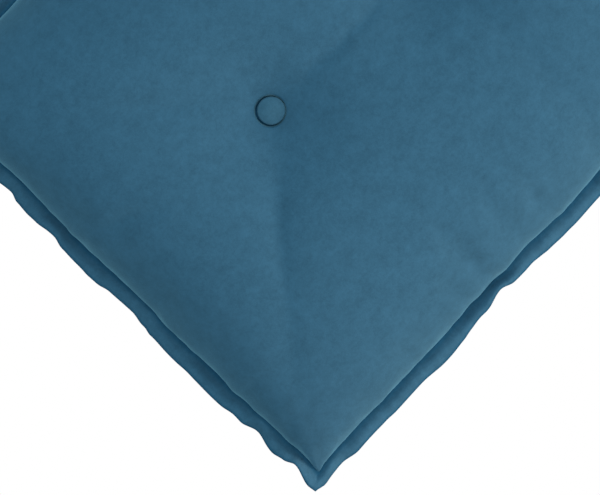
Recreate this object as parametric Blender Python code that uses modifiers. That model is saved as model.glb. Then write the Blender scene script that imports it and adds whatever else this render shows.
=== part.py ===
"""Back cushion, lying on its back with its front face up.

Two velvet panels are sewn together round the edge and stuffed. Outside the seam the panels'
margins lie on each other as a wavy flange, and two covered buttons are tufted into the front.

+X runs along the long sides, +Y along the short ones and +Z out of the front face. The origin is
on the surface, under the middle of the outline. Lengths are in metres.
"""

import math
from collections import namedtuple

import bmesh
import bpy

# The stuffed body, measured at the seam
SEAM_LENGTH = 0.575
SEAM_WIDTH = 0.475
SEAM_HEIGHT = 0.052
SEAM_BAND = 0.004
CORNER_DROP = 0.009
SIDE_DRAW_IN = 0.002
FRONT_CROWN = 0.077
BACK_CROWN = 0.068
# How square the crown's outline is, along the long and the short sides
FRONT_FULLNESS = (6.0, 2.6)
BACK_FULLNESS = (4.0, 4.0)

# The back settles flat over a rectangle, and lifts off the surface gently outside it
REST_HALF_LENGTH = 0.195
REST_HALF_WIDTH = 0.150
REST_LIFT = 0.05
REST_BLEND = 0.006

# The grid's lines in from the seam: close together on the steep wall there, then even
WALL_LINES = (0.0, 0.002, 0.006, 0.013)
GRID_PITCH = 0.0135

# The tufts, and what they pull into the front and the back
BUTTONS = {"button_left": (-0.0879, 0.0087), "button_right": (0.0870, 0.0055)}
TUFT_DEPTHS = ((0.0180, 0.090), (0.0085, 0.036))
CREASE_ROUNDING = 0.0025
BACK_TUFT_DEPTH = 0.007
BACK_TUFT_RADIUS = 0.050
# The tufts fade out where the crown is lower than this share of its full height
TUFT_FADE = 0.65

# A covered button, and the pocket that it sits in
BUTTON_RADIUS = 0.0125
BUTTON_SEAT_RADIUS = 0.0098
BUTTON_HEIGHT = 0.0085
BUTTON_RIM_HEIGHT = 0.0032
DOME_STEPS = 5
POCKET_RISE = 0.0015
POCKET_GAP = 0.0008
POCKET_THROAT_HEIGHT = 0.0042
POCKET_CUT_TOP = 0.040
TURN_STEPS = 32

# The flange
FLANGE_THICKNESS = 0.003
FLANGE_FLAT = 0.003
MIDDLE_ROW = (0.6, 0.4)
CORNER_REACH = 0.020
CORNER_TIP_X = 0.0138
CORNER_TIP_Y = 0.0125
CORNER_TIP_LIFT = -0.002
TOUCH_GAP = 0.0003

HALF_LENGTH = SEAM_LENGTH / 2
HALF_WIDTH = SEAM_WIDTH / 2

# A side of the outline: the directions along it, anticlockwise, and out of it
Side = namedtuple("Side", "along outward")
# One wave of the flange: how far along its side, how far out it reaches there and how far it lifts
Wave = namedtuple("Wave", "along width lift")
# One crease that a tuft pulls into the front: its points, its depth and half width at the button,
# how much wider it gets by its end, and the share of its length that it fades over
Crease = namedtuple("Crease", "points depth width flare fade")
# One pull of the seam on the stuffing: its side, how far along, the share of the height that it
# takes, half its width, how far in it reaches and how much it leans along the side on the way
Pull = namedtuple("Pull", "side along share width reach lean")

SIDES = {
    "front_long": Side((1, 0), (0, -1)),
    "right_short": Side((0, 1), (1, 0)),
    "far_long": Side((-1, 0), (0, 1)),
    "left_short": Side((0, -1), (-1, 0)),
}
LONG_WAVES = (
    Wave(0.017, 0.0090, -0.0070),
    Wave(0.041, 0.0128, -0.0030),
    Wave(0.062, 0.0110, -0.0045),
    Wave(0.100, 0.0126, -0.0035),
    Wave(0.147, 0.0136, -0.0045),
    Wave(0.190, 0.0104, 0.0010),
    Wave(0.224, 0.0076, 0.0050),
    Wave(0.250, 0.0098, -0.0020),
    Wave(0.292, 0.0126, -0.0045),
    Wave(0.330, 0.0114, -0.0030),
    Wave(0.372, 0.0132, -0.0010),
    Wave(0.405, 0.0092, -0.0080),
    Wave(0.445, 0.0132, 0.0010),
    Wave(0.490, 0.0108, 0.0060),
    Wave(0.528, 0.0130, -0.0010),
    Wave(0.557, 0.0090, -0.0065),
)
SHORT_WAVES = (
    Wave(0.019, 0.0088, -0.0060),
    Wave(0.047, 0.0120, 0.0045),
    Wave(0.079, 0.0138, 0.0010),
    Wave(0.111, 0.0094, -0.0075),
    Wave(0.132, 0.0134, -0.0005),
    Wave(0.163, 0.0110, 0.0070),
    Wave(0.213, 0.0130, 0.0015),
    Wave(0.262, 0.0106, -0.0085),
    Wave(0.309, 0.0134, -0.0030),
    Wave(0.347, 0.0142, 0.0020),
    Wave(0.389, 0.0132, 0.0010),
    Wave(0.410, 0.0102, -0.0080),
    Wave(0.432, 0.0140, -0.0015),
    Wave(0.456, 0.0086, 0.0075),
)
CREASES = (
    Crease(
        ((-0.0879, 0.0087), (-0.1183, -0.0266), (-0.1979, -0.1135), (-0.2574, -0.1900), (-0.2875, -0.2375)),
        0.0048, 0.013, 0.016, 0.35,
    ),
    Crease(((-0.0879, 0.0087), (-0.2000, 0.1300), (-0.2875, 0.2375)), 0.0050, 0.040, 0.010, 0.50),
    Crease(((-0.0879, 0.0087), (0.0000, 0.0040), (0.0870, 0.0055)), 0.0028, 0.026, 0.000, 0.00),
    Crease(
        ((0.0870, 0.0055), (0.0962, -0.0446), (0.1000, -0.1249), (0.0954, -0.1962), (0.0780, -0.2375)),
        0.0022, 0.009, 0.000, 0.15,
    ),
    Crease(((0.0870, 0.0055), (0.1750, -0.1000), (0.2875, -0.2375)), 0.0019, 0.022, 0.026, 0.35),
    Crease(((0.0870, 0.0055), (0.2000, 0.1350), (0.2875, 0.2375)), 0.0045, 0.038, 0.010, 0.50),
)
PULLS = (
    Pull("front_long", 0.108, 0.07, 0.011, 0.030, 0.10),
    Pull("front_long", 0.2235, 0.20, 0.010, 0.024, 0.00),
    Pull("front_long", 0.306, 0.10, 0.011, 0.024, -0.10),
    Pull("front_long", 0.3645, 0.20, 0.011, 0.024, 0.40),
    Pull("front_long", 0.470, 0.08, 0.012, 0.030, -0.10),
    Pull("right_short", 0.118, 0.08, 0.012, 0.030, 0.10),
    Pull("right_short", 0.240, 0.12, 0.012, 0.040, 0.05),
    Pull("right_short", 0.352, 0.09, 0.012, 0.030, -0.10),
    Pull("far_long", 0.123, 0.08, 0.012, 0.030, 0.10),
    Pull("far_long", 0.230, 0.18, 0.011, 0.045, -0.15),
    Pull("far_long", 0.363, 0.22, 0.011, 0.050, 0.20),
    Pull("far_long", 0.452, 0.08, 0.012, 0.032, -0.10),
    Pull("left_short", 0.137, 0.08, 0.012, 0.030, 0.10),
    Pull("left_short", 0.239, 0.09, 0.013, 0.035, 0.00),
    Pull("left_short", 0.330, 0.08, 0.012, 0.030, -0.10),
)

# Velvet colours: the face, the shaded flange and the buttons
VELVET_FACE = (0.040, 0.122, 0.195)
VELVET_FLANGE = (0.030, 0.095, 0.155)
VELVET_BUTTON = (0.045, 0.130, 0.200)
VELVET_ROUGHNESS = 0.85


def smooth_step(share):
    share = min(max(share, 0.0), 1.0)
    return share * share * (3 - 2 * share)


def distance_to_line(point, start, end):
    """How far a point is from a straight line, and the share of the line passed there."""
    run = (end[0] - start[0], end[1] - start[1])
    offset = (point[0] - start[0], point[1] - start[1])
    share = (offset[0] * run[0] + offset[1] * run[1]) / (run[0] ** 2 + run[1] ** 2)
    share = min(max(share, 0.0), 1.0)
    return math.hypot(offset[0] - share * run[0], offset[1] - share * run[1]), share


def is_long(side):
    return side.along[0] != 0


def side_length(side):
    return SEAM_LENGTH if is_long(side) else SEAM_WIDTH


def place_by_side(side, x, y):
    """How far along a side a point is, and how far in from it."""
    depth = SEAM_WIDTH if is_long(side) else SEAM_LENGTH
    along = side_length(side) / 2 + x * side.along[0] + y * side.along[1]
    return along, depth / 2 - x * side.outward[0] - y * side.outward[1]


def pulled_share(x, y):
    """The share of the crown that the pulls of the seam leave at a point."""
    share = 1.0
    for pull in PULLS:
        along, inward = place_by_side(SIDES[pull.side], x, y)
        across = (along - pull.along - pull.lean * inward) / pull.width
        share -= pull.share * math.exp(-across * across - inward / pull.reach)
    return share


def distance_to_path(point, points):
    """How far a point is from a path of straight runs, and the share of the path passed there."""
    lengths = [math.dist(start, end) for start, end in zip(points, points[1:])]
    nearest, passed, done = math.inf, 0.0, 0.0
    for start, end, length in zip(points, points[1:], lengths):
        away, share = distance_to_line(point, start, end)
        if away < nearest:
            nearest = away
            passed = (done + share * length) / sum(lengths)
        done += length
    return nearest, passed


def front_drop(x, y):
    """How far the tufts, and the creases that run from them, lower the front."""
    drop = 0.0
    for button in BUTTONS.values():
        away = math.dist((x, y), button)
        drop += sum(depth * math.exp(-away / spread) for depth, spread in TUFT_DEPTHS)
    for crease in CREASES:
        away, passed = distance_to_path((x, y), crease.points)
        fade = smooth_step((1 - passed) / crease.fade) if crease.fade else 1.0
        rounded = math.hypot(away, CREASE_ROUNDING) - CREASE_ROUNDING
        drop += crease.depth * fade * math.exp(-rounded / (crease.width + crease.flare * passed))
    return drop


def back_rise(x, y):
    """How far the tufts draw the back in. It is exactly zero away from them."""
    rise = 0.0
    for button in BUTTONS.values():
        share = min(1.0, math.dist((x, y), button) / BACK_TUFT_RADIUS)
        rise += BACK_TUFT_DEPTH * (1 - share**2) ** 2
    return rise


def plan_point(s, t):
    """Where a point of a panel lies, for s and t from -1 to 1, with the sides drawn in."""
    x = HALF_LENGTH * s - SIDE_DRAW_IN * s**5 * (1 - t * t)
    y = HALF_WIDTH * t - SIDE_DRAW_IN * t**5 * (1 - s * s)
    return x, y


def seam_level(s, t):
    return SEAM_HEIGHT - CORNER_DROP * (s * t) ** 4


def crown(s, t, fullness):
    """The height of the stuffing, as a share: full in the middle, and upright at the seam."""
    along, across = fullness
    return math.sqrt((1 - abs(s) ** along) * (1 - abs(t) ** across))


def front_point(s, t):
    x, y = plan_point(s, t)
    full = crown(s, t, FRONT_FULLNESS)
    height = FRONT_CROWN * full * pulled_share(x, y)
    height -= front_drop(x, y) * min(1.0, full / TUFT_FADE)
    return x, y, seam_level(s, t) + SEAM_BAND / 2 + max(height, 0.0)


def back_point(s, t):
    """The back hangs below the seam as the front stands above it, until it meets the surface."""
    x, y = plan_point(s, t)
    hang = BACK_CROWN * crown(s, t, BACK_FULLNESS) * pulled_share(x, y)
    z = seam_level(s, t) - SEAM_BAND / 2 - hang
    rest = REST_LIFT * max(abs(x) - REST_HALF_LENGTH, abs(y) - REST_HALF_WIDTH, 0.0)
    if z < rest + REST_BLEND:
        z = rest + max(z - rest + REST_BLEND, 0.0) ** 2 / (4 * REST_BLEND)
    return x, y, z + back_rise(x, y)


def grid_lines(half):
    """The grid's lines from one seam to the other, as shares of the half size."""
    inner = half - WALL_LINES[-1]
    count = round(2 * inner / GRID_PITCH)
    wall = [half - line for line in WALL_LINES[:-1]]
    even = [inner * (2 * i / count - 1) for i in range(count + 1)]
    lines = [-line for line in wall] + even + wall[::-1]
    return [line / half for line in lines]


LINES_ALONG = grid_lines(HALF_LENGTH)
LINES_ACROSS = grid_lines(HALF_WIDTH)


def velvet(name, colour):
    material = bpy.data.materials.new(name)
    material.use_nodes = True
    shader = material.node_tree.nodes["Principled BSDF"]
    shader.inputs["Base Color"].default_value = (*colour, 1.0)
    shader.inputs["Roughness"].default_value = VELVET_ROUGHNESS
    shader.inputs["Metallic"].default_value = 0.0
    material.diffuse_color = (*colour, 1.0)
    return material


def new_object(name, mesh, collection):
    obj = bpy.data.objects.new(name, mesh)
    collection.objects.link(obj)
    return obj


def mesh_from(bm, name):
    bmesh.ops.recalc_face_normals(bm, faces=bm.faces)
    mesh = bpy.data.meshes.new(name)
    bm.to_mesh(mesh)
    bm.free()
    mesh.shade_smooth()
    return mesh


def grid_index(share, count):
    """The line of a grid from -1 to 1 that a coordinate lies on."""
    return round((share + 1) / 2 * count)


def cushion_body(collection):
    """A grid extruded into a slab, then shaped: its top is the front and its bottom the back."""
    columns, rows = len(LINES_ALONG) - 1, len(LINES_ACROSS) - 1
    bm = bmesh.new()
    back = bmesh.ops.create_grid(bm, x_segments=columns, y_segments=rows, size=1.0)["verts"]
    grown = bmesh.ops.extrude_face_region(bm, geom=bm.faces[:], use_keep_orig=True)
    front = [item for item in grown["geom"] if isinstance(item, bmesh.types.BMVert)]
    for panel, shaped in ((back, back_point), (front, front_point)):
        for vert in panel:
            s = LINES_ALONG[grid_index(vert.co.x, columns)]
            t = LINES_ACROSS[grid_index(vert.co.y, rows)]
            vert.co = shaped(s, t)
    return new_object("cushion", mesh_from(bm, "cushion"), collection)


def turned(name, profile, place, collection):
    """A turned solid from a profile of (radius, height), from its top down its outer side."""
    mesh = bpy.data.meshes.new(name)
    edges = [(i, i + 1) for i in range(len(profile) - 1)]
    mesh.from_pydata([(radius, 0.0, height) for radius, height in profile], edges, [])
    obj = new_object(name, mesh, collection)
    obj.location = place
    screw = obj.modifiers.new("turn", "SCREW")
    screw.axis = "Z"
    screw.steps = TURN_STEPS
    screw.render_steps = TURN_STEPS
    screw.use_merge_vertices = True
    screw.merge_threshold = 0.0001
    return obj


def pocket_profile():
    """The pocket that a tufted button sinks into: a mouth at 45 degrees, a throat and a floor."""
    throat = BUTTON_RADIUS + POCKET_GAP
    return (
        (0.0, POCKET_CUT_TOP),
        (throat + POCKET_CUT_TOP - POCKET_THROAT_HEIGHT, POCKET_CUT_TOP),
        (throat, POCKET_THROAT_HEIGHT),
        (throat, 0.0),
        (0.0, 0.0),
    )


def button_profile():
    """A covered button: a low dome, a rounded rim and a flat seat."""
    dome = [(0.0, BUTTON_HEIGHT)]
    for i in range(1, DOME_STEPS + 1):
        angle = math.pi / 2 * i / DOME_STEPS
        rise = (BUTTON_HEIGHT - BUTTON_RIM_HEIGHT) * math.cos(angle)
        dome.append((BUTTON_RADIUS * math.sin(angle), BUTTON_RIM_HEIGHT + rise))
    return (*dome, (BUTTON_SEAT_RADIUS, 0.0), (0.0, 0.0))


def pocket_floor(button):
    x, y = BUTTONS[button]
    _, _, cloth = front_point(x / HALF_LENGTH, y / HALF_WIDTH)
    return x, y, cloth + POCKET_RISE


def cut(obj, cutter):
    cutter.hide_render = True
    cutter.display_type = "WIRE"
    boolean = obj.modifiers.new(cutter.name, "BOOLEAN")
    boolean.operation = "DIFFERENCE"
    boolean.solver = "EXACT"
    boolean.object = cutter


def wave_at(waves, along):
    """The flange's reach and lift this far along a side, run smoothly from wave to wave."""
    for before, after in zip(waves, waves[1:]):
        if along < after.along:
            break
    share = smooth_step((along - before.along) / (after.along - before.along))
    width = before.width + share * (after.width - before.width)
    return width, before.lift + share * (after.lift - before.lift)


def flange_edge(side, along):
    """From a point of the seam to the flange's outer edge, which runs out to a tip at a corner."""
    width, lift = wave_at(LONG_WAVES if is_long(side) else SHORT_WAVES, along)
    to_start, to_end = along, side_length(side) - along
    turn = max(0.0, 1 - min(to_start, to_end) / CORNER_REACH)
    tip_on, tip_out = CORNER_TIP_X, CORNER_TIP_Y
    if not is_long(side):
        tip_on, tip_out = tip_out, tip_on
    on = turn * (tip_on if to_end < to_start else -tip_on)
    out = width + turn * (tip_out - width)
    x = on * side.along[0] + out * side.outward[0]
    y = on * side.along[1] + out * side.outward[1]
    return x, y, lift + turn * (CORNER_TIP_LIFT - lift)


def seam_stations():
    """Each point of the seam in turn round the outline, with the way to the flange's edge there."""
    stations = []
    for side in SIDES.values():
        lines = LINES_ALONG if is_long(side) else LINES_ACROSS
        for line in lines[:-1]:
            s = line * side.along[0] + side.outward[0]
            t = line * side.along[1] + side.outward[1]
            x, y = plan_point(s, t)
            along, _ = place_by_side(side, x, y)
            stations.append(((x, y, seam_level(s, t)), flange_edge(side, along)))
    return stations


def flange_rows(reach):
    """The flange's rows from the seam out: each one's share of the reach, and of the lift."""
    return (
        (TOUCH_GAP / reach, 0.0),
        (FLANGE_FLAT / reach, 0.0),
        MIDDLE_ROW,
        (1.0, 1.0),
    )


def flange_strip(collection):
    """A strip wrapped round the seam and joined at its ends, flat by the stitching, then waving."""
    stations = seam_stations()
    columns, rows = len(stations), len(flange_rows(1.0)) - 1
    bm = bmesh.new()
    bmesh.ops.create_grid(bm, x_segments=columns, y_segments=rows, size=1.0)
    for vert in bm.verts:
        seam, edge = stations[grid_index(vert.co.x, columns) % columns]
        reach = max(abs(edge[0]), abs(edge[1]))
        out, up = flange_rows(reach)[grid_index(vert.co.y, rows)]
        vert.co = (seam[0] + out * edge[0], seam[1] + out * edge[1], seam[2] + up * edge[2])
    bmesh.ops.remove_doubles(bm, verts=bm.verts, dist=TOUCH_GAP / 10)
    obj = new_object("flange", mesh_from(bm, "flange"), collection)
    solidify = obj.modifiers.new("two layers", "SOLIDIFY")
    solidify.thickness = FLANGE_THICKNESS
    solidify.offset = 0.0
    return obj


def main():
    for obj in list(bpy.data.objects):
        bpy.data.objects.remove(obj)
    parts = bpy.data.collections.new("back_cushion")
    cutters = bpy.data.collections.new("cutters")
    for collection in (parts, cutters):
        bpy.context.scene.collection.children.link(collection)

    body = cushion_body(parts)
    body.data.materials.append(velvet("velvet_face", VELVET_FACE))
    flange = flange_strip(parts)
    flange.data.materials.append(velvet("velvet_flange", VELVET_FLANGE))
    for name in BUTTONS:
        x, y, floor = pocket_floor(name)
        cut(body, turned(f"{name}_pocket", pocket_profile(), (x, y, floor), cutters))
        button = turned(name, button_profile(), (x, y, floor + TOUCH_GAP), parts)
        button.data.materials.append(velvet(f"velvet_{name}", VELVET_BUTTON))


main()
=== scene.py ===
"""The looks of the back cushion: two stuffed velvet panels, the flange outside their seam and the
two covered buttons. It lies on its back, and the camera faces its front.

Lengths are in metres, in the model's own frame.
"""

import math
from collections import namedtuple

import bmesh
import bpy
import numpy as np
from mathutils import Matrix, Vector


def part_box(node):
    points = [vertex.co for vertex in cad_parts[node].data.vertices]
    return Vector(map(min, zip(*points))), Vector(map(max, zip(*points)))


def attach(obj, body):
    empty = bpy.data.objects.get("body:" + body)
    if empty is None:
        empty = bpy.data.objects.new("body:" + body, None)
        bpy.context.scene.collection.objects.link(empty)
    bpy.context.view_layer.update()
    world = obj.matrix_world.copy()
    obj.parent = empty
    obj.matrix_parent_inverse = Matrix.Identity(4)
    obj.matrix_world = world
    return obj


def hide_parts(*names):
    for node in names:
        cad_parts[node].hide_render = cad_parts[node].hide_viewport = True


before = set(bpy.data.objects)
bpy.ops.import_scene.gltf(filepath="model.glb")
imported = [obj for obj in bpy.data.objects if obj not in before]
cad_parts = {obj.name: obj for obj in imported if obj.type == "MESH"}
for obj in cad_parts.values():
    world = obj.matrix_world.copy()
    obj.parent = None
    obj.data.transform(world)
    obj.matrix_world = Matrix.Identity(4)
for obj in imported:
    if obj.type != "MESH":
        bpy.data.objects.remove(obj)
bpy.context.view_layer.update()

_, CUSHION_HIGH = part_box("cushion")
HALF_LENGTH = CUSHION_HIGH.x
HALF_WIDTH = CUSHION_HIGH.y
BUTTON_NODES = ("button_left", "button_right")

# The rows of the tables below
Side = namedtuple("Side", "along outward")
Wave = namedtuple("Wave", "along width lift")
Ripple = namedtuple("Ripple", "along inward")
Dip = namedtuple("Dip", "depth spread")
Crease = namedtuple("Crease", "points depth width flare fade")
Pull = namedtuple("Pull", "side along share width reach lean")
Ring = namedtuple("Ring", "share half")
Swell = namedtuple("Swell", "amount length phase")
Hoop = namedtuple("Hoop", "share height")
Velvet = namedtuple("Velvet", "colour sheen")
Lamp = namedtuple("Lamp", "name size energy colour turn rise away")

# The stuffed body
SEAM_HEIGHT = 0.052
CORNER_DROP = 0.009
CORNER_DROP_POWER = 4
SEAM_WANDER_POWER = 5
FRONT_CROWN = 0.077
BACK_CROWN = 0.068
FRONT_FULLNESS = (6.0, 2.6)
BACK_FULLNESS = (4.0, 4.0)
REST_HALF_LENGTH = 0.195
REST_HALF_WIDTH = 0.150
REST_LIFT = 0.05
REST_BLEND = 0.006
OVERHANG = 0.0045
OVERHANG_HEIGHT = 0.040
OVERHANG_START = 0.8

# The mesh's lines in from the seam: close together on the steep wall there, then even
WALL_LINES = (0.0, 0.0003, 0.0010, 0.0021, 0.0038, 0.0062, 0.0095, 0.0138)
GRID_PITCH = 0.0054

# The tufts, and what they pull into the front and the back. What they pull into the front fades
# toward the seam, below this share of the crown
LEFT_TUFT = (-0.0879, 0.0087)
RIGHT_TUFT = (0.0870, 0.0055)
TUFT_DIPS = (Dip(0.0180, 0.090), Dip(0.0085, 0.036))
TUFT_FADE = 0.65
CREASE_ROUNDING = 0.0045
BACK_TUFT_DEPTH = 0.007
BACK_TUFT_RADIUS = 0.050

# Small puckers of the cloth at the seam, which reach further in the stronger they are
PUCKER_SEED = 7
PUCKER_SPACING = (0.009, 0.019)
PUCKER_STRENGTH = (0.02, 0.09)
PUCKER_WIDTH = 0.0042
PUCKER_REACH = 0.012
PUCKER_REACH_SHARES = (0.6, 8.0)
PUCKER_DRAW = 0.008

# The pocket round a button: from its floor the cloth rolls up to the front between these radii
POCKET_FOOT = 0.0128
POCKET_LIP = 0.0147
POCKET_FLOOR_DROP = 0.0004
POCKET_ROLL_POWER = 0.5
FINE_ROUNDS = (0.034, 0.024)

# The stuffing's push on the cloth
SIM_FRAMES = 20
SIM_PRESSURE = 4.0
SIM_SHRINK = -0.008
SIM_CAP = 0.004
SIM_QUALITY = 6
SIM_TUFT_HOLD = 0.017

# The flange: stations along the seam, and half its thickness at shares of its reach
STATION_PITCH = 0.0018
FLANGE_SECTION = (
    Ring(-0.08, 0.0005),
    Ring(0.02, 0.0005),
    Ring(0.12, 0.0005),
    Ring(0.20, 0.0006),
    Ring(0.27, 0.0009),
    Ring(0.34, 0.0014),
    Ring(0.42, 0.0020),
    Ring(0.51, 0.0026),
    Ring(0.61, 0.0030),
    Ring(0.72, 0.0030),
    Ring(0.82, 0.0026),
    Ring(0.90, 0.0020),
    Ring(0.955, 0.0013),
    Ring(0.985, 0.0007),
)
FLANGE_FLAT_SHARE = 0.15
CORNER_REACH = 0.020
CORNER_TIP_X = 0.0146
CORNER_TIP_Y = 0.0094

# How its plumpness swells along the seam, its small crimps, and the stitching's dents
PLUMP_SWELLS = (Swell(0.12, 0.0071, 0.0), Swell(0.08, 0.0113, 1.0))
PLUMP_FROM = 0.001
CRIMP_SEED = 3
CRIMP_START = 0.006
CRIMP_SPACING = (0.007, 0.013)
CRIMP_WIDTH = (0.0022, 0.0038)
CRIMP_LIFT = (0.0002, 0.0006)
CRIMP_SIGNS = (-0.6, 1.0)
CRIMP_BULGE_POWER = 0.7
STITCH_PITCH = 0.0034
STITCH_DENT = 0.0003
STITCH_SHARE = 0.2

# Painted shade in the seam's groove, round the buttons and at the flange's edge: the velvet is darker
# and bluer there, keeping this share of its colour, taken to these powers for red, green and blue
SHADE_POWERS = (2.5, 1.0, 0.6)
SEAM_SHADE = 0.70
SEAM_SHADE_END = 0.36
EDGE_SHADE = 0.55
EDGE_SHADE_START = 0.84
POCKET_SHADE = 0.72
POCKET_SHADE_END = 0.0160

SIDES = {
    "front_long": Side((1, 0), (0, -1)),
    "right_short": Side((0, 1), (1, 0)),
    "far_long": Side((-1, 0), (0, 1)),
    "left_short": Side((0, -1), (-1, 0)),
}
LONG_WAVES = (
    Wave(0.000, 0.0094, -0.0020),
    Wave(0.007, 0.0129, -0.0040),
    Wave(0.019, 0.0117, -0.0068),
    Wave(0.038, 0.0154, -0.0030),
    Wave(0.062, 0.0152, -0.0045),
    Wave(0.117, 0.0148, -0.0030),
    Wave(0.144, 0.0169, -0.0045),
    Wave(0.171, 0.0158, -0.0022),
    Wave(0.182, 0.0145, 0.0002),
    Wave(0.199, 0.0149, 0.0018),
    Wave(0.224, 0.0105, 0.0032),
    Wave(0.236, 0.0126, 0.0015),
    Wave(0.258, 0.0138, -0.0028),
    Wave(0.272, 0.0155, -0.0040),
    Wave(0.298, 0.0160, -0.0048),
    Wave(0.312, 0.0145, -0.0040),
    Wave(0.337, 0.0151, -0.0028),
    Wave(0.372, 0.0151, -0.0010),
    Wave(0.405, 0.0111, -0.0080),
    Wave(0.445, 0.0151, 0.0010),
    Wave(0.490, 0.0127, 0.0060),
    Wave(0.528, 0.0149, -0.0010),
    Wave(0.557, 0.0113, -0.0065),
    Wave(0.568, 0.0129, -0.0040),
    Wave(0.575, 0.0094, -0.0020),
)
SHORT_WAVES = (
    Wave(0.000, 0.0146, -0.0020),
    Wave(0.007, 0.0161, -0.0038),
    Wave(0.019, 0.0111, -0.0060),
    Wave(0.047, 0.0145, 0.0045),
    Wave(0.079, 0.0161, 0.0010),
    Wave(0.112, 0.0136, -0.0075),
    Wave(0.122, 0.0163, -0.0038),
    Wave(0.137, 0.0170, -0.0014),
    Wave(0.160, 0.0147, 0.0034),
    Wave(0.197, 0.0156, 0.0004),
    Wave(0.210, 0.0173, -0.0006),
    Wave(0.221, 0.0171, -0.0012),
    Wave(0.234, 0.0149, -0.0024),
    Wave(0.261, 0.0146, -0.0070),
    Wave(0.275, 0.0165, -0.0064),
    Wave(0.293, 0.0161, -0.0042),
    Wave(0.317, 0.0171, -0.0022),
    Wave(0.340, 0.0182, 0.0016),
    Wave(0.394, 0.0166, -0.0010),
    Wave(0.411, 0.0127, -0.0080),
    Wave(0.430, 0.0173, -0.0017),
    Wave(0.445, 0.0159, 0.0036),
    Wave(0.456, 0.0110, 0.0075),
    Wave(0.469, 0.0158, 0.0020),
    Wave(0.475, 0.0146, -0.0020),
)
# How far the seam wanders in from the straight line between its corners
RIPPLES = {
    "front_long": (
        Ripple(0.000, 0.0000),
        Ripple(0.012, 0.0022),
        Ripple(0.054, 0.0034),
        Ripple(0.073, 0.0032),
        Ripple(0.085, 0.0024),
        Ripple(0.127, 0.0028),
        Ripple(0.156, 0.0022),
        Ripple(0.179, 0.0032),
        Ripple(0.196, 0.0051),
        Ripple(0.209, 0.0041),
        Ripple(0.226, 0.0046),
        Ripple(0.239, 0.0025),
        Ripple(0.269, 0.0040),
        Ripple(0.279, 0.0029),
        Ripple(0.299, 0.0022),
        Ripple(0.312, 0.0004),
        Ripple(0.338, 0.0018),
        Ripple(0.372, 0.0031),
        Ripple(0.404, 0.0015),
        Ripple(0.440, 0.0035),
        Ripple(0.478, 0.0021),
        Ripple(0.520, 0.0031),
        Ripple(0.575, 0.0000),
    ),
    "right_short": (
        Ripple(0.000, 0.0000),
        Ripple(0.040, 0.0035),
        Ripple(0.082, 0.0021),
        Ripple(0.120, 0.0041),
        Ripple(0.165, 0.0029),
        Ripple(0.240, 0.0051),
        Ripple(0.285, 0.0031),
        Ripple(0.352, 0.0043),
        Ripple(0.410, 0.0027),
        Ripple(0.475, 0.0000),
    ),
    "far_long": (
        Ripple(0.000, 0.0000),
        Ripple(0.050, 0.0027),
        Ripple(0.090, 0.0014),
        Ripple(0.123, 0.0033),
        Ripple(0.180, 0.0022),
        Ripple(0.230, 0.0045),
        Ripple(0.290, 0.0025),
        Ripple(0.363, 0.0038),
        Ripple(0.420, 0.0017),
        Ripple(0.444, 0.0006),
        Ripple(0.466, 0.0014),
        Ripple(0.488, 0.0006),
        Ripple(0.540, 0.0021),
        Ripple(0.575, 0.0000),
    ),
    "left_short": (
        Ripple(0.000, 0.0000),
        Ripple(0.045, 0.0045),
        Ripple(0.112, 0.0073),
        Ripple(0.140, 0.0064),
        Ripple(0.150, 0.0054),
        Ripple(0.166, 0.0061),
        Ripple(0.178, 0.0036),
        Ripple(0.197, 0.0030),
        Ripple(0.208, 0.0039),
        Ripple(0.260, 0.0046),
        Ripple(0.277, 0.0042),
        Ripple(0.286, 0.0022),
        Ripple(0.304, 0.0014),
        Ripple(0.318, 0.0015),
        Ripple(0.333, 0.0027),
        Ripple(0.373, 0.0007),
        Ripple(0.386, 0.0022),
        Ripple(0.400, 0.0013),
        Ripple(0.427, 0.0023),
        Ripple(0.435, 0.0014),
        Ripple(0.446, 0.0025),
        Ripple(0.463, 0.0010),
        Ripple(0.475, 0.0000),
    ),
}
# Creases that the tufts pull into the front: their points, and at the button their depth, half
# width, how much wider they get by their end, and the share of their length that they fade over
CREASES = (
    Crease(
        (
            LEFT_TUFT,
            (-0.0995, -0.0083),
            (-0.1183, -0.0266),
            (-0.1395, -0.0484),
            (-0.1692, -0.0805),
            (-0.1979, -0.1135),
            (-0.2266, -0.1466),
            (-0.2574, -0.1900),
            (-0.2875, -0.2375),
        ),
        0.0048, 0.013, 0.016, 0.35,
    ),
    Crease((LEFT_TUFT, (-0.2000, 0.1300), (-0.2875, 0.2375)), 0.0050, 0.040, 0.010, 0.50),
    Crease((LEFT_TUFT, (0.0000, 0.0040), RIGHT_TUFT), 0.0028, 0.026, 0.000, 0.00),
    Crease(
        (
            RIGHT_TUFT,
            (0.0962, -0.0446),
            (0.1000, -0.1249),
            (0.0970, -0.1636),
            (0.0954, -0.1962),
            (0.0816, -0.2260),
            (0.0780, -0.2375),
        ),
        0.0022, 0.009, 0.000, 0.15,
    ),
    Crease((RIGHT_TUFT, (0.1750, -0.1000), (0.2875, -0.2375)), 0.0019, 0.022, 0.026, 0.35),
    Crease((RIGHT_TUFT, (0.2000, 0.1350), (0.2875, 0.2375)), 0.0045, 0.038, 0.010, 0.50),
)
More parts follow.
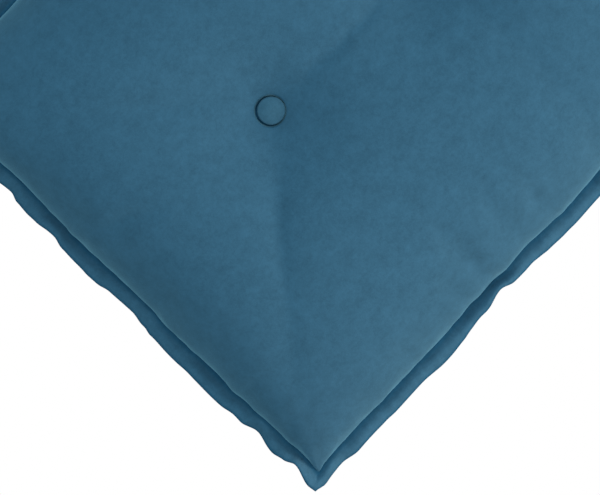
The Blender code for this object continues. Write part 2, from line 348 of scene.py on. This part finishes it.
PULLS = (
    Pull("front_long", 0.060, 0.06, 0.010, 0.020, 0.00),
    Pull("front_long", 0.152, 0.09, 0.014, 0.026, 0.05),
    Pull("front_long", 0.193, 0.08, 0.008, 0.020, 0.10),
    Pull("front_long", 0.2235, 0.25, 0.0095, 0.040, 0.00),
    Pull("front_long", 0.268, 0.08, 0.009, 0.050, 0.00),
    Pull("front_long", 0.306, 0.12, 0.009, 0.024, -0.10),
    Pull("front_long", 0.3645, 0.16, 0.010, 0.020, 0.45),
    Pull("front_long", 0.430, 0.09, 0.011, 0.028, -0.10),
    Pull("front_long", 0.505, 0.07, 0.011, 0.026, 0.10),
    Pull("right_short", 0.070, 0.06, 0.010, 0.022, 0.10),
    Pull("right_short", 0.118, 0.09, 0.010, 0.030, 0.10),
    Pull("right_short", 0.176, 0.05, 0.008, 0.018, 0.00),
    Pull("right_short", 0.240, 0.13, 0.010, 0.040, 0.05),
    Pull("right_short", 0.300, 0.05, 0.008, 0.020, 0.00),
    Pull("right_short", 0.352, 0.09, 0.011, 0.030, -0.10),
    Pull("right_short", 0.415, 0.06, 0.010, 0.022, 0.00),
    Pull("far_long", 0.065, 0.06, 0.010, 0.022, 0.05),
    Pull("far_long", 0.123, 0.08, 0.011, 0.030, 0.10),
    Pull("far_long", 0.180, 0.05, 0.008, 0.018, 0.00),
    Pull("far_long", 0.230, 0.16, 0.010, 0.042, -0.15),
    Pull("far_long", 0.292, 0.06, 0.008, 0.022, 0.00),
    Pull("far_long", 0.363, 0.18, 0.010, 0.045, 0.20),
    Pull("far_long", 0.416, 0.05, 0.008, 0.020, 0.00),
    Pull("far_long", 0.466, 0.10, 0.011, 0.024, 0.00),
    Pull("far_long", 0.525, 0.06, 0.010, 0.022, 0.00),
    Pull("left_short", 0.060, 0.06, 0.010, 0.022, 0.00),
    Pull("left_short", 0.123, 0.09, 0.012, 0.026, 0.00),
    Pull("left_short", 0.160, 0.04, 0.008, 0.016, 0.00),
    Pull("left_short", 0.197, 0.09, 0.011, 0.034, 0.05),
    Pull("left_short", 0.240, 0.06, 0.008, 0.020, 0.00),
    Pull("left_short", 0.288, 0.09, 0.009, 0.022, 0.00),
    Pull("left_short", 0.345, 0.06, 0.009, 0.022, 0.00),
    Pull("left_short", 0.400, 0.06, 0.010, 0.022, -0.10),
)

# Buttons
BUTTON_SEGMENTS = 72
BUTTON_RINGS = 14
BUTTON_RIM_RINGS = 6
BUTTON_RIM = 0.0017
BUTTON_DOME = 0.0022
BUTTON_DOME_POWER = 2.2
BUTTON_RIM_DROP = 0.0022
BUTTON_TAKE_IN = 0.0002
BUTTON_SHIFT = (0.0008, -0.0006)
# Below its rim, a button's height above its seat at shares of its radius
BUTTON_BACK = (Hoop(0.995, 0.0020), Hoop(0.93, 0.0008), Hoop(0.78, 0.0), Hoop(0.0, 0.0))

# Velvet: the ground's colour and the weight of its sheen
FACE_VELVET = Velvet((0.0308, 0.1092, 0.1840), 0.64)
# The flange's ground is painted lighter than the face's, making up for the shade the body's wall casts on
# it
FLANGE_VELVET = Velvet((0.0350, 0.1235, 0.2060), 0.30)
BUTTON_VELVET = Velvet((0.0375, 0.1230, 0.1950), 0.20)
PILE_ROUGHNESS = 0.95
SHEEN_ROUGHNESS = 0.45
SHEEN_TINT = (0.31, 0.77, 1.0, 1.0)
MOTTLE = 0.95

# Camera: the photograph's frame, in metres at the seam's height
CAMERA_X = -0.1562
CAMERA_Y = -0.0911
CAMERA_TURN = -46.7
FRAME_WIDTH = 0.5226
SENSOR = 36.0
LENS = 400.0

# Light: an even studio, a low key lamp from the picture's right, and weaker lamps over the cushion
# and from the picture's top. A lamp's turn is from the picture's right, anticlockwise, and its rise
# is from the floor, both in degrees
WORLD_LIGHT = 0.695
FLOOR_GLOW = 0.08
FLOOR_HALF = 30.0
FLOOR_DROP = 0.0002
LAMPS = (
    Lamp("top", 2.4, 16.0, (1.0, 1.0, 1.0), 0, 86, 3.4),
    Lamp("key", 1.4, 102.0, (0.94, 0.62, 0.515), -10, 17, 3.0),
    Lamp("rim", 1.6, 13.0, (1.0, 1.0, 1.0), 90, 40, 3.0),
)


def smooth_step(share):
    share = np.clip(share, 0.0, 1.0)
    return share * share * (3 - 2 * share)


def along_table(rows, along):
    """A table's values this far along a side, run smoothly from row to row."""
    stops = np.array([row.along for row in rows])
    values = np.array([row[1:] for row in rows])
    i = np.clip(np.searchsorted(stops, along) - 1, 0, len(stops) - 2)
    share = smooth_step((along - stops[i]) / (stops[i + 1] - stops[i]))
    return values[i] + share[..., None] * (values[i + 1] - values[i])


def is_long(side):
    return side.along[0] != 0


def side_length(side):
    return 2 * (HALF_LENGTH if is_long(side) else HALF_WIDTH)


def place_by_side(side, x, y):
    """How far along a side a point is, and how far in from it."""
    depth = 2 * (HALF_WIDTH if is_long(side) else HALF_LENGTH)
    along = side_length(side) / 2 + x * side.along[0] + y * side.along[1]
    return along, depth / 2 - x * side.outward[0] - y * side.outward[1]


def distance_to_line(x, y, start, end):
    run = (end[0] - start[0], end[1] - start[1])
    share = ((x - start[0]) * run[0] + (y - start[1]) * run[1]) / (run[0] ** 2 + run[1] ** 2)
    share = np.clip(share, 0.0, 1.0)
    return np.hypot(x - start[0] - share * run[0], y - start[1] - share * run[1]), share


def puckers_along(side, rng):
    """Small puckers where the cloth is gathered into the seam: where they are and how strong."""
    puckers, at = [], PUCKER_SPACING[0]
    while at < side_length(side) - PUCKER_SPACING[0]:
        puckers.append((at, rng.uniform(*PUCKER_STRENGTH)))
        at += rng.uniform(*PUCKER_SPACING)
    return puckers


def all_puckers():
    rng = np.random.default_rng(PUCKER_SEED)
    return {name: puckers_along(side, rng) for name, side in SIDES.items()}


PUCKERS = all_puckers()


def button_places():
    places = {}
    for node in BUTTON_NODES:
        low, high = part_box(node)
        places[node] = ((low.x + high.x) / 2, (low.y + high.y) / 2, low.z)
    return places


BUTTONS = button_places()


def from_button(button, x, y):
    return np.hypot(x - button[0], y - button[1])


def pulled_share(x, y):
    share = np.ones_like(x)
    for pull in PULLS:
        along, inward = place_by_side(SIDES[pull.side], x, y)
        across = (along - pull.along - pull.lean * inward) / pull.width
        share -= pull.share * np.exp(-across * across - (inward / pull.reach) ** 2)
    least, gain = PUCKER_REACH_SHARES
    for name, puckers in PUCKERS.items():
        along, inward = place_by_side(SIDES[name], x, y)
        for at, strength in puckers:
            across = (along - at) / PUCKER_WIDTH
            reach = PUCKER_REACH * (least + gain * strength)
            share -= strength * np.exp(-across * across - (inward / reach) ** 2)
    return share


def distance_to_path(x, y, points):
    """How far points are from a path of straight runs, and the share of the path passed there."""
    lengths = [math.dist(a, b) for a, b in zip(points, points[1:])]
    nearest, passed, done = np.full(x.shape, np.inf), np.zeros(x.shape), 0.0
    for start, end, length in zip(points, points[1:], lengths):
        away, share = distance_to_line(x, y, start, end)
        closer = away < nearest
        nearest = np.where(closer, away, nearest)
        passed = np.where(closer, (done + share * length) / sum(lengths), passed)
        done += length
    return nearest, passed


def front_drop(x, y):
    """How far the tufts and the creases that run from them lower the front."""
    drop = np.zeros_like(x)
    for button in BUTTONS.values():
        away = from_button(button, x, y)
        for dip in TUFT_DIPS:
            drop += dip.depth * np.exp(-away / dip.spread)
    for crease in CREASES:
        away, passed = distance_to_path(x, y, crease.points)
        fade = smooth_step((1 - passed) / crease.fade) if crease.fade else 1.0
        rounded = np.hypot(away, CREASE_ROUNDING) - CREASE_ROUNDING
        drop += crease.depth * fade * np.exp(-rounded / (crease.width + crease.flare * passed))
    return drop


def back_rise(x, y):
    rise = np.zeros_like(x)
    for button in BUTTONS.values():
        share = np.minimum(1.0, from_button(button, x, y) / BACK_TUFT_RADIUS)
        rise += BACK_TUFT_DEPTH * (1 - share**2) ** 2
    return rise


def pucker_in(name, along):
    """How far the small puckers draw the seam in, this far along a side."""
    drawn = np.zeros_like(along)
    for at, strength in PUCKERS[name]:
        draw = PUCKER_DRAW * (strength - PUCKER_STRENGTH[0])
        drawn += draw * np.exp(-(((along - at) / PUCKER_WIDTH) ** 2))
    return drawn


def ripple_in(name, x, y):
    along, _ = place_by_side(SIDES[name], x, y)
    return along_table(RIPPLES[name], along)[..., 0] + pucker_in(name, along)


def plan_points(s, t):
    """Where the points of a panel lie, for s and t from -1 to 1, with the seam's wander."""
    x, y = HALF_LENGTH * s, HALF_WIDTH * t
    in_x = np.where(s > 0, ripple_in("right_short", x, y), ripple_in("left_short", x, y))
    in_y = np.where(t > 0, ripple_in("far_long", x, y), ripple_in("front_long", x, y))
    return x - in_x * s**SEAM_WANDER_POWER, y - in_y * t**SEAM_WANDER_POWER


def seam_level(s, t):
    return SEAM_HEIGHT - CORNER_DROP * (s * t) ** CORNER_DROP_POWER


def crown(s, t, fullness):
    along, across = fullness
    return np.sqrt(np.maximum((1 - np.abs(s) ** along) * (1 - np.abs(t) ** across), 0.0))


def hang_over(s, t, x, y, height):
    """The wall leans out over the seam a little, between the seam and the overhang's height."""
    lean = OVERHANG * np.sin(np.pi * np.clip(height / OVERHANG_HEIGHT, 0.0, 1.0))
    out_s, out_t = (
        np.clip((np.abs(line) - OVERHANG_START) / (1 - OVERHANG_START), 0.0, 1.0) * np.sign(line)
        for line in (s, t)
    )
    return x + lean * out_s, y + lean * out_t


def front_points(s, t):
    x, y = plan_points(s, t)
    full = crown(s, t, FRONT_FULLNESS)
    height = FRONT_CROWN * full * pulled_share(x, y)
    height -= front_drop(x, y) * np.minimum(1.0, full / TUFT_FADE)
    height = np.maximum(height, 0.0)
    x, y = hang_over(s, t, x, y, height)
    return np.stack((x, y, seam_level(s, t) + height), axis=-1)


def back_points(s, t):
    x, y = plan_points(s, t)
    hang = BACK_CROWN * crown(s, t, BACK_FULLNESS) * pulled_share(x, y)
    z = seam_level(s, t) - hang
    beyond = np.maximum(np.abs(x) - REST_HALF_LENGTH, np.abs(y) - REST_HALF_WIDTH)
    rest = REST_LIFT * np.maximum(beyond, 0.0)
    met = rest + np.maximum(z - rest + REST_BLEND, 0.0) ** 2 / (4 * REST_BLEND)
    z = np.where(z < rest + REST_BLEND, met, z)
    x, y = hang_over(s, t, x, y, hang)
    return np.stack((x, y, z + back_rise(x, y)), axis=-1)


def grid_lines(half):
    inner = half - WALL_LINES[-1]
    count = round(2 * inner / GRID_PITCH)
    wall = [half - line for line in WALL_LINES[:-1]]
    even = [inner * (2 * i / count - 1) for i in range(count + 1)]
    return np.array([-line for line in wall] + even + wall[::-1]) / half


def new_object(name, mesh):
    obj = bpy.data.objects.new(name, mesh)
    bpy.context.scene.collection.objects.link(obj)
    return obj


def grid_faces(index):
    """The quads between neighbouring points of a grid of vertex numbers."""
    return np.stack(
        (index[:-1, :-1], index[1:, :-1], index[1:, 1:], index[:-1, 1:]), axis=-1
    ).reshape(-1, 4)


def panels_mesh():
    """The front and back panels as one closed mesh, joined along the seam."""
    lines_s, lines_t = grid_lines(HALF_LENGTH), grid_lines(HALF_WIDTH)
    s, t = np.meshgrid(lines_s, lines_t, indexing="ij")
    front = np.arange(s.size).reshape(s.shape)
    inside = np.zeros(s.shape, bool)
    inside[1:-1, 1:-1] = True
    back = front.copy()
    back[inside] = s.size + np.arange(inside.sum())
    points = np.concatenate((front_points(s, t).reshape(-1, 3), back_points(s, t)[inside]))
    faces = np.concatenate((grid_faces(front), grid_faces(back)[:, ::-1]))
    mesh = bpy.data.meshes.new("cushion")
    mesh.from_pydata(points.tolist(), [], faces.tolist())
    mesh.update()
    return mesh, np.unique(front[~inside]), s.size


def positions(mesh):
    co = np.empty(len(mesh.vertices) * 3)
    mesh.vertices.foreach_get("co", co)
    return co.reshape(-1, 3)


def set_positions(mesh, points):
    mesh.vertices.foreach_set("co", points.astype(np.float32).ravel())
    mesh.update()


def stuff(obj, seam, front_count):
    """Pushes the cloth out by its stuffing, held at the seam, the tufts and where it rests."""
    start = positions(obj.data)
    held = np.zeros(len(start), bool)
    held[seam] = True
    is_front = np.arange(len(start)) < front_count
    for button in BUTTONS.values():
        held |= is_front & (from_button(button, start[:, 0], start[:, 1]) < SIM_TUFT_HOLD)
    held |= ~is_front & (np.abs(start[:, 0]) < REST_HALF_LENGTH) & (
        np.abs(start[:, 1]) < REST_HALF_WIDTH
    )
    group = obj.vertex_groups.new(name="held")
    group.add(np.flatnonzero(held).tolist(), 1.0, "REPLACE")

    cloth = obj.modifiers.new("stuffing", "CLOTH")
    settings = cloth.settings
    settings.vertex_group_mass = "held"
    settings.use_pressure = True
    settings.uniform_pressure_force = SIM_PRESSURE
    settings.shrink_min = SIM_SHRINK
    settings.effector_weights.gravity = 0.0
    settings.quality = SIM_QUALITY
    cloth.point_cache.frame_start = 1
    cloth.point_cache.frame_end = SIM_FRAMES
    scene = bpy.context.scene
    for number in range(1, SIM_FRAMES + 1):
        scene.frame_set(number)
    evaluated = obj.evaluated_get(bpy.context.evaluated_depsgraph_get())
    pushed = positions(evaluated.data)
    obj.modifiers.remove(cloth)
    scene.frame_set(1)

    move = pushed - start
    length = np.linalg.norm(move, axis=1, keepdims=True)
    move *= SIM_CAP * np.tanh(length / SIM_CAP) / np.maximum(length, 1e-9)
    points = start + move
    points[:, 2] = np.maximum(points[:, 2], 0.0)
    set_positions(obj.data, points)


def subdivide_once(obj):
    modifier = obj.modifiers.new("fine", "SUBSURF")
    modifier.levels = 1
    modifier.render_levels = 1
    modifier.boundary_smooth = "PRESERVE_CORNERS"
    evaluated = obj.evaluated_get(bpy.context.evaluated_depsgraph_get())
    mesh = bpy.data.meshes.new_from_object(evaluated)
    obj.modifiers.remove(modifier)
    old = obj.data
    obj.data = mesh
    bpy.data.meshes.remove(old)
    mesh.name = obj.name


def sink_pockets(obj):
    """Refines the front round each button and rolls the cloth down to the pocket's floor."""
    bm = bmesh.new()
    bm.from_mesh(obj.data)
    for reach in FINE_ROUNDS:
        edges = set()
        for face in bm.faces:
            centre = face.calc_center_median()
            if centre.z < SEAM_HEIGHT:
                continue
            if any(math.dist(centre.xy, button[:2]) < reach for button in BUTTONS.values()):
                edges.update(face.edges)
        bmesh.ops.subdivide_edges(bm, edges=list(edges), cuts=1, use_grid_fill=True)
    for vert in bm.verts:
        if vert.co.z < SEAM_HEIGHT:
            continue
        for x, y, base in BUTTONS.values():
            away = math.dist(vert.co.xy, (x, y))
            if away < POCKET_LIP:
                floor = base - POCKET_FLOOR_DROP
                share = float(smooth_step((away - POCKET_FOOT) / (POCKET_LIP - POCKET_FOOT)))
                vert.co.z = floor + (vert.co.z - floor) * share**POCKET_ROLL_POWER
    bmesh.ops.recalc_face_normals(bm, faces=bm.faces)
    bm.to_mesh(obj.data)
    bm.free()
    obj.data.shade_smooth()


def set_painted_shade(mesh, shade):
    """Stores painted shade at each point of a mesh: how much of its colour the velvet keeps, the darker
    the bluer.
    """
    layer = mesh.attributes.new("shade", "FLOAT_VECTOR", "POINT")
    kept = np.asarray(shade)[:, None] ** np.array(SHADE_POWERS)
    layer.data.foreach_set("vector", kept.astype(np.float32).ravel())


# Painted shade round each button: darkest at the pocket's foot, fading out across the lip
def pocket_painted_shade(points):
    shade = np.ones(len(points))
    for button in BUTTONS.values():
        away = from_button(button, points[:, 0], points[:, 1])
        lit = smooth_step((away - POCKET_FOOT) / (POCKET_SHADE_END - POCKET_FOOT))
        near = (away < POCKET_SHADE_END) & (points[:, 2] > SEAM_HEIGHT)
        shade = np.where(near, POCKET_SHADE + (1 - POCKET_SHADE) * lit, shade)
    return shade


def make_cushion():
    mesh, seam, front_count = panels_mesh()
    obj = new_object("velvet_body", mesh)
    stuff(obj, seam, front_count)
    subdivide_once(obj)
    sink_pockets(obj)
    set_painted_shade(obj.data, pocket_painted_shade(positions(obj.data)))
    return obj


def flange_edge(side, along):
    """From points of the seam to the flange's outer edge, which runs out to a tip at a corner."""
    waves = along_table(LONG_WAVES if is_long(side) else SHORT_WAVES, along)
    width, lift = waves[:, 0], waves[:, 1]
    to_end = side_length(side) - along
    turn = np.maximum(0.0, 1 - np.minimum(along, to_end) / CORNER_REACH)
    tip = CORNER_TIP_X if is_long(side) else CORNER_TIP_Y
    on = turn * np.where(to_end < along, tip, -tip)
    x = on * side.along[0] + width * side.outward[0]
    y = on * side.along[1] + width * side.outward[1]
    return np.stack((x, y, lift), axis=-1)


def seam_run(name):
    """Even stations along one side: its seam points and the way to the flange's edge."""
    side = SIDES[name]
    count = round(side_length(side) / STATION_PITCH)
    line = 2 * np.arange(count) / count - 1
    s = line * side.along[0] + side.outward[0]
    t = line * side.along[1] + side.outward[1]
    x, y = plan_points(s, t)
    along, _ = place_by_side(side, x, y)
    edge = flange_edge(side, along)
    # The outer edge doesn't follow the seam's small puckers
    edge[:, :2] += pucker_in(name, along)[:, None] * np.array(side.outward)
    return np.stack((x, y, seam_level(s, t)), axis=-1), edge


def crimps(distance):
    """How high the flange's small ripples are along the seam, where the stitching gathers it."""
    rng = np.random.default_rng(CRIMP_SEED)
    height, at = np.zeros_like(distance), CRIMP_START
    while at < distance[-1] - CRIMP_START:
        width, lift = rng.uniform(*CRIMP_WIDTH), rng.uniform(*CRIMP_LIFT)
        height += rng.choice(CRIMP_SIGNS) * lift * np.exp(-(((distance - at) / width) ** 2))
        at += rng.uniform(*CRIMP_SPACING)
    return height


def flange_rings():
    """The flange's section, from the seam over its top to the edge and back below."""
    below = [Ring(ring.share, -ring.half) for ring in FLANGE_SECTION[::-1]]
    return [*FLANGE_SECTION, Ring(1.0, 0.0), *below]


# Painted shade on the flange: darker in the seam's groove and at its rounded outer edge
def flange_painted_shade(rings):
    shares = np.array([ring.share for ring in rings])
    seam_lit = smooth_step(shares / SEAM_SHADE_END)
    edge_lit = smooth_step((1 - shares) / (1 - EDGE_SHADE_START))
    return (SEAM_SHADE + (1 - SEAM_SHADE) * seam_lit) * (EDGE_SHADE + (1 - EDGE_SHADE) * edge_lit)


def make_flange():
    runs = [seam_run(name) for name in SIDES]
    seam = np.concatenate([run[0] for run in runs])
    edge = np.concatenate([run[1] for run in runs])
    distance = np.cumsum(np.linalg.norm(seam - np.roll(seam, 1, axis=0), axis=1))
    plump = 1 + sum(swell.amount * np.sin(distance / swell.length + swell.phase) for swell in PLUMP_SWELLS)
    crimp = crimps(distance)
    stitch = np.maximum(0.0, np.cos(2 * np.pi * distance / STITCH_PITCH))
    rings = flange_rings()
    rows = []
    for share, half in rings:
        lift = smooth_step((share - FLANGE_FLAT_SHARE) / (1 - FLANGE_FLAT_SHARE))
        row = seam + edge * np.array((share, share, lift))
        thick = half * (plump if abs(half) > PLUMP_FROM else 1.0)
        if 0 < share < STITCH_SHARE:
            thick = thick - math.copysign(STITCH_DENT, half) * stitch
        bulge = math.sin(math.pi * max(share, 0.0)) ** CRIMP_BULGE_POWER
        row[:, 2] += thick + bulge * crimp
        rows.append(row)
    points = np.stack(rows, axis=1)
    count, around = points.shape[:2]
    index = np.arange(count * around).reshape(count, around)
    index = np.concatenate((index, index[:1]))
    index = np.concatenate((index, index[:, :1]), axis=1)
    mesh = bpy.data.meshes.new("flange")
    mesh.from_pydata(points.reshape(-1, 3).tolist(), [], grid_faces(index).tolist())
    bm = bmesh.new()
    bm.from_mesh(mesh)
    bmesh.ops.recalc_face_normals(bm, faces=bm.faces)
    bm.to_mesh(mesh)
    bm.free()
    mesh.shade_smooth()
    set_painted_shade(mesh, np.tile(flange_painted_shade(rings), count))
    return new_object("velvet_margin", mesh)


def make_button(node):
    """A covered button: cloth drawn over a low dome, gathered in round its back."""
    low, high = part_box(node)
    radius = (high.x - low.x) / 2 - BUTTON_TAKE_IN
    height = high.z - low.z
    face = radius - BUTTON_RIM
    x = (low.x + high.x) / 2 + BUTTON_SHIFT[0]
    y = (low.y + high.y) / 2 + BUTTON_SHIFT[1]
    profile = []
    for i in range(BUTTON_RINGS + 1):
        r = face * i / BUTTON_RINGS
        profile.append((r, height - BUTTON_DOME * (r / face) ** BUTTON_DOME_POWER))
    for i in range(1, BUTTON_RIM_RINGS + 1):
        angle = math.pi / 2 * i / BUTTON_RIM_RINGS
        drop = BUTTON_DOME + BUTTON_RIM_DROP * (1 - math.cos(angle))
        profile.append((face + BUTTON_RIM * math.sin(angle), height - drop))
    profile += [(radius * hoop.share, hoop.height) for hoop in BUTTON_BACK]
    bm = bmesh.new()
    loops = []
    for r, z in profile:
        if r == 0:
            loops.append([bm.verts.new((x, y, low.z + z))])
            continue
        loop = []
        for j in range(BUTTON_SEGMENTS):
            a = 2 * math.pi * j / BUTTON_SEGMENTS
            loop.append(bm.verts.new((x + r * math.cos(a), y + r * math.sin(a), low.z + z)))
        loops.append(loop)
    for upper, lower in zip(loops, loops[1:]):
        for j in range(BUTTON_SEGMENTS):
            k = (j + 1) % BUTTON_SEGMENTS
            if len(upper) == 1:
                bm.faces.new((upper[0], lower[j], lower[k]))
            elif len(lower) == 1:
                bm.faces.new((upper[j], lower[0], upper[k]))
            else:
                bm.faces.new((upper[j], lower[j], lower[k], upper[k]))
    bmesh.ops.recalc_face_normals(bm, faces=bm.faces)
    mesh = bpy.data.meshes.new(node)
    bm.to_mesh(mesh)
    bm.free()
    mesh.shade_smooth()
    # Painted shade on the button's lower side, down in the pocket
    points = positions(mesh)
    lit = smooth_step((points[:, 2] - low.z) / (height - BUTTON_DOME - BUTTON_RIM_DROP))
    set_painted_shade(mesh, POCKET_SHADE + (1 - POCKET_SHADE) * lit)
    return new_object(f"velvet_{node}", mesh)


def add_node(tree, kind, **values):
    node = tree.nodes.new(kind)
    for name, value in values.items():
        if hasattr(node, name):
            setattr(node, name, value)
        else:
            node.inputs[name.replace("_", " ")].default_value = value
    return node


def velvet(name, cloth):
    """Short-pile velvet: a matt ground with a soft rim of sheen, cloudy where the pile is brushed."""
    material = bpy.data.materials.new(name)
    material.use_nodes = True
    tree = material.node_tree
    shader = tree.nodes["Principled BSDF"]
    shader.inputs["Roughness"].default_value = PILE_ROUGHNESS
    shader.inputs["Specular IOR Level"].default_value = 0.0
    shader.inputs["Sheen Weight"].default_value = cloth.sheen
    shader.inputs["Sheen Roughness"].default_value = SHEEN_ROUGHNESS
    shader.inputs["Sheen Tint"].default_value = SHEEN_TINT
    place = add_node(tree, "ShaderNodeTexCoord")

    # Clouds from about 17 mm down to the pile's own grain, each size as strong as the last
    clouds = add_node(tree, "ShaderNodeTexNoise", Scale=58.0, Detail=5.0, Roughness=1.0, Distortion=0.0)
    tree.links.new(place.outputs["Object"], clouds.inputs["Vector"])
    share = add_node(tree, "ShaderNodeMath", operation="MULTIPLY_ADD")
    tree.links.new(clouds.outputs["Fac"], share.inputs[0])
    share.inputs[1].default_value = MOTTLE
    share.inputs[2].default_value = 1.0 - MOTTLE / 2
    # The ground is darkened and made bluer by the painted shade stored on the mesh
    shade = add_node(tree, "ShaderNodeAttribute", attribute_name="shade")
    dimmed = add_node(tree, "ShaderNodeVectorMath", operation="MULTIPLY")
    dimmed.inputs[0].default_value = cloth.colour
    tree.links.new(shade.outputs["Vector"], dimmed.inputs[1])
    tint = add_node(tree, "ShaderNodeVectorMath", operation="SCALE")
    tree.links.new(dimmed.outputs[0], tint.inputs[0])
    tree.links.new(share.outputs[0], tint.inputs["Scale"])
    tree.links.new(tint.outputs[0], shader.inputs["Base Color"])

    pile = add_node(tree, "ShaderNodeTexNoise", Scale=1400.0, Detail=3.0, Roughness=0.6)
    brushed = add_node(tree, "ShaderNodeTexNoise", Scale=60.0, Detail=2.0, Roughness=0.5)
    for noise in (pile, brushed):
        tree.links.new(place.outputs["Object"], noise.inputs["Vector"])
    soft = add_node(tree, "ShaderNodeBump", Strength=0.25, Distance=0.0012)
    fine = add_node(tree, "ShaderNodeBump", Strength=0.35, Distance=0.0004)
    tree.links.new(brushed.outputs["Fac"], soft.inputs["Height"])
    tree.links.new(pile.outputs["Fac"], fine.inputs["Height"])
    tree.links.new(soft.outputs[0], fine.inputs["Normal"])
    tree.links.new(fine.outputs[0], shader.inputs["Normal"])
    return material


def dress(obj, slot, material, *nodes):
    obj.data.materials.clear()
    obj.data.materials.append(material)
    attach(obj, "root")
    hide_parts(*nodes)


def make_floor():
    mesh = bpy.data.meshes.new("floor")
    half = FLOOR_HALF
    corners = [(-half, -half, 0), (half, -half, 0), (half, half, 0), (-half, half, 0)]
    mesh.from_pydata(corners, [], [(0, 1, 2, 3)])
    floor = new_object("floor", mesh)
    floor.location.z = -FLOOR_DROP
    material = bpy.data.materials.new("pale_floor")
    material.use_nodes = True
    tree = material.node_tree
    shader = tree.nodes["Principled BSDF"]
    shader.inputs["Base Color"].default_value = (0.0, 0.0, 0.0, 1.0)
    shader.inputs["Specular IOR Level"].default_value = 0.0
    shader.inputs["Emission Color"].default_value = (1.0, 1.0, 1.0, 1.0)
    # White to the camera, but a weaker glow on the velvet
    seen = add_node(tree, "ShaderNodeLightPath")
    glow = add_node(tree, "ShaderNodeMapRange", To_Min=FLOOR_GLOW, To_Max=1.0)
    tree.links.new(seen.outputs["Is Camera Ray"], glow.inputs["Value"])
    tree.links.new(glow.outputs["Result"], shader.inputs["Emission Strength"])
    mesh.materials.append(material)


def make_light():
    world = bpy.data.worlds.new("studio")
    bpy.context.scene.world = world
    world.use_nodes = True
    back = world.node_tree.nodes["Background"]
    back.inputs["Color"].default_value = (1.0, 1.0, 1.0, 1.0)
    back.inputs["Strength"].default_value = WORLD_LIGHT
    for lamp in LAMPS:
        data = bpy.data.lights.new(lamp.name, "AREA")
        data.shape = "DISK"
        data.size = lamp.size
        data.energy = lamp.energy
        data.color = lamp.colour
        obj = bpy.data.objects.new(lamp.name, data)
        bpy.context.scene.collection.objects.link(obj)
        obj.visible_camera = False
        turn, rise = math.radians(CAMERA_TURN + lamp.turn), math.radians(lamp.rise)
        obj.location = (
            CAMERA_X + lamp.away * math.cos(rise) * math.cos(turn),
            CAMERA_Y + lamp.away * math.cos(rise) * math.sin(turn),
            lamp.away * math.sin(rise),
        )
        obj.rotation_euler = (0.0, math.radians(90) - rise, turn)


def make_camera():
    data = bpy.data.cameras.new("camera")
    data.sensor_width = SENSOR
    data.lens = LENS
    data.clip_end = 100.0
    camera = bpy.data.objects.new("camera", data)
    bpy.context.scene.collection.objects.link(camera)
    camera.location = (CAMERA_X, CAMERA_Y, SEAM_HEIGHT + FRAME_WIDTH * LENS / SENSOR)
    camera.rotation_euler = (0.0, 0.0, math.radians(CAMERA_TURN))
    bpy.context.scene.camera = camera


make_camera()
make_light()
make_floor()
bpy.context.scene.view_settings.view_transform = "Standard"

cushion = make_cushion()
dress(cushion, "velvet_face", velvet("velvet_face_looks", FACE_VELVET), "cushion")

flange = make_flange()
dress(flange, "velvet_flange", velvet("velvet_flange_looks", FLANGE_VELVET), "flange")

for node in BUTTON_NODES:
    button = make_button(node)
    dress(button, "velvet_button", velvet(f"{node}_looks", BUTTON_VELVET), node)
